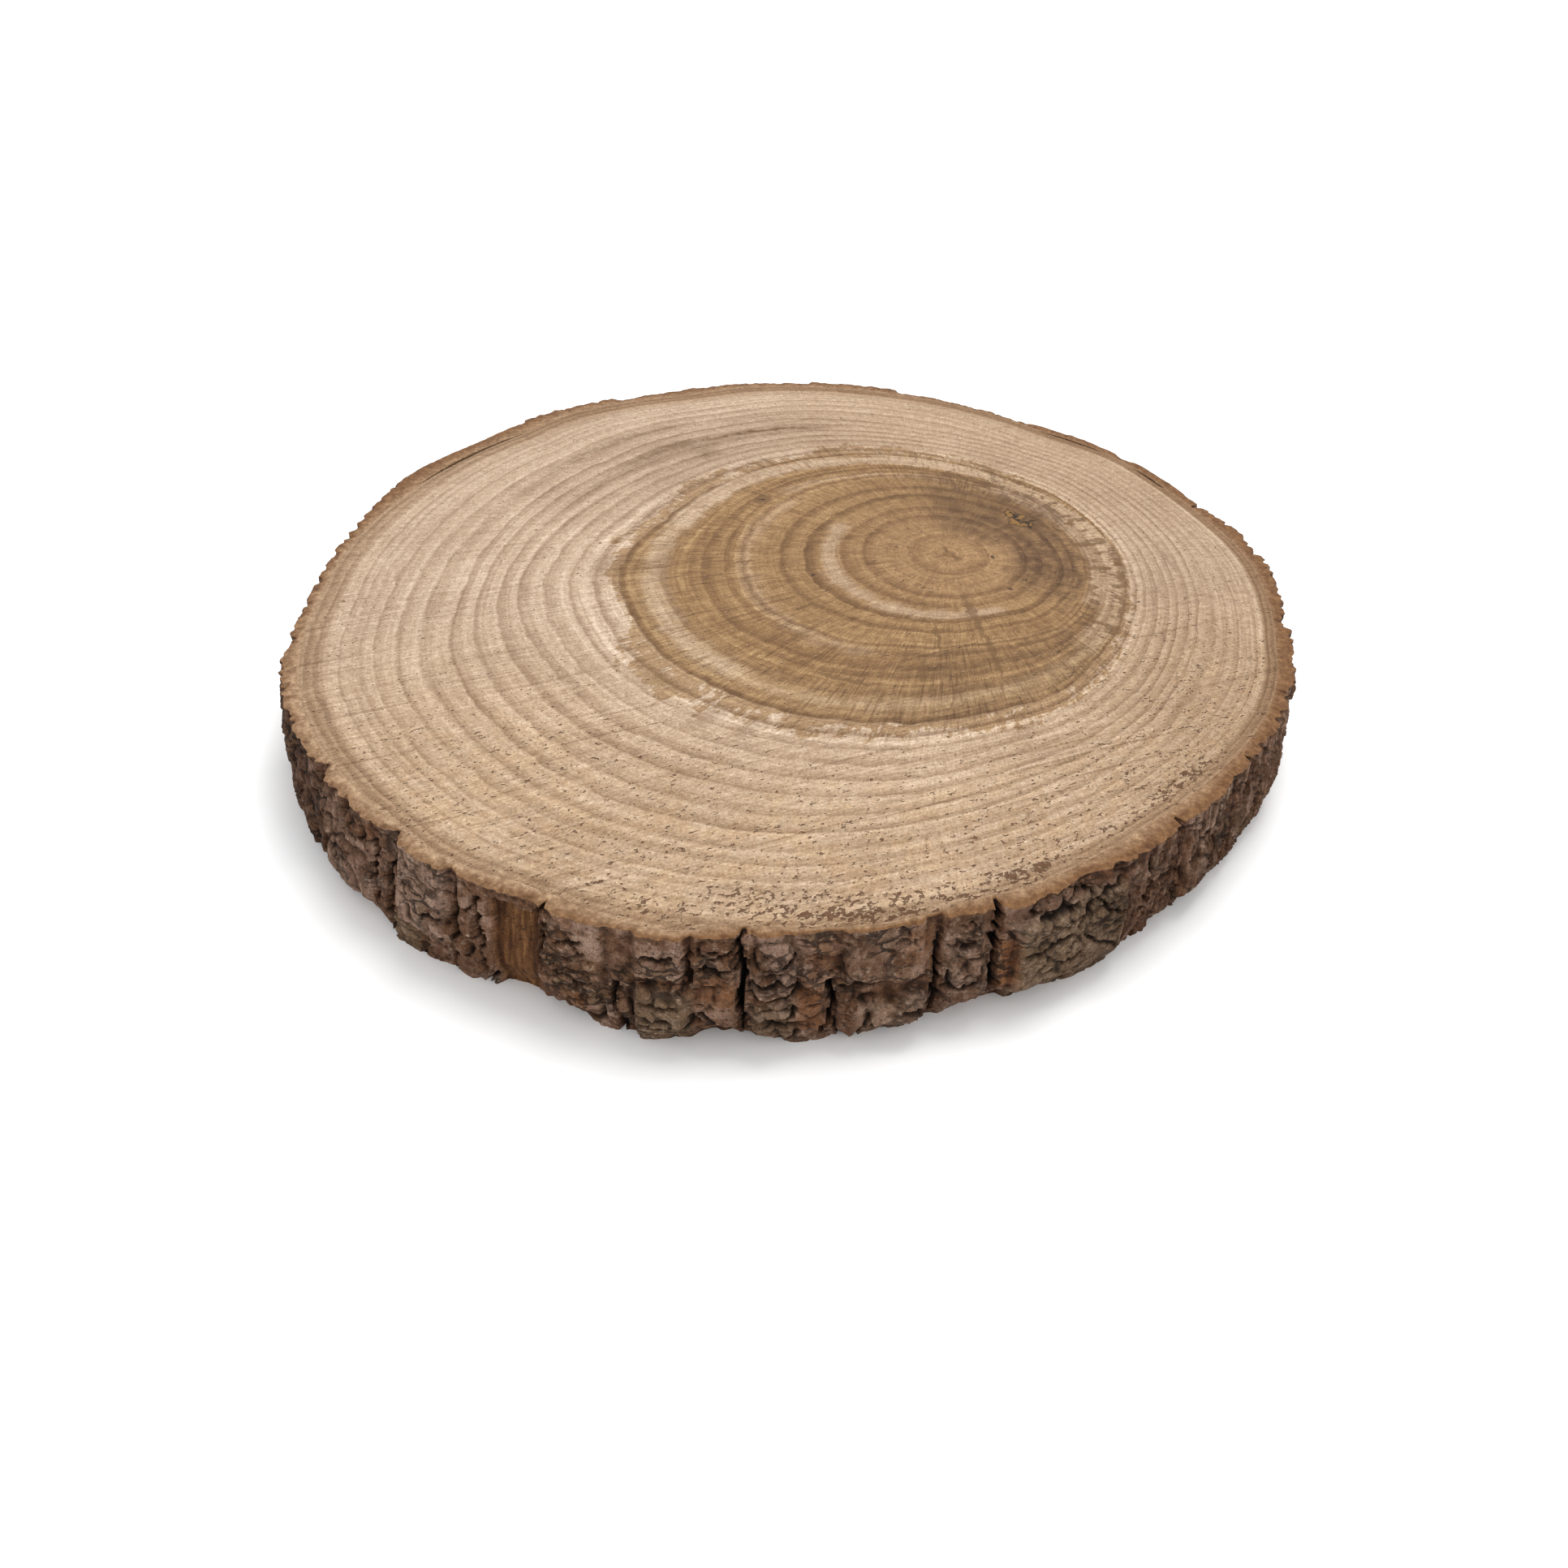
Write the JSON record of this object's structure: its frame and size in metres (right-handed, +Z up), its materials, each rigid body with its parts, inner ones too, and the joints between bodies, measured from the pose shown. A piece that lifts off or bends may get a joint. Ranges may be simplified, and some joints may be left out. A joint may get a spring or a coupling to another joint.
{
  "type": "wood slice",
  "caption": "Round slice of a tree trunk with its bark on and both cut faces flat, for use as a board, stand or craft base.",
  "frame": {"origin": "middle of the footprint, on the lower cut face that the slice rests on", "axes": "+Z up out of the top cut face, along the grain; +X to the right and +Y away from the camera in the picture"},
  "size_m": [0.2399, 0.2396, 0.025],
  "materials": {
    "wood": "raw sawn end grain",
    "bark": "rough dry bark"
  },
  "bodies": {
    "root": {"wood_slice": "wood"}
  },
  "joints": []
}
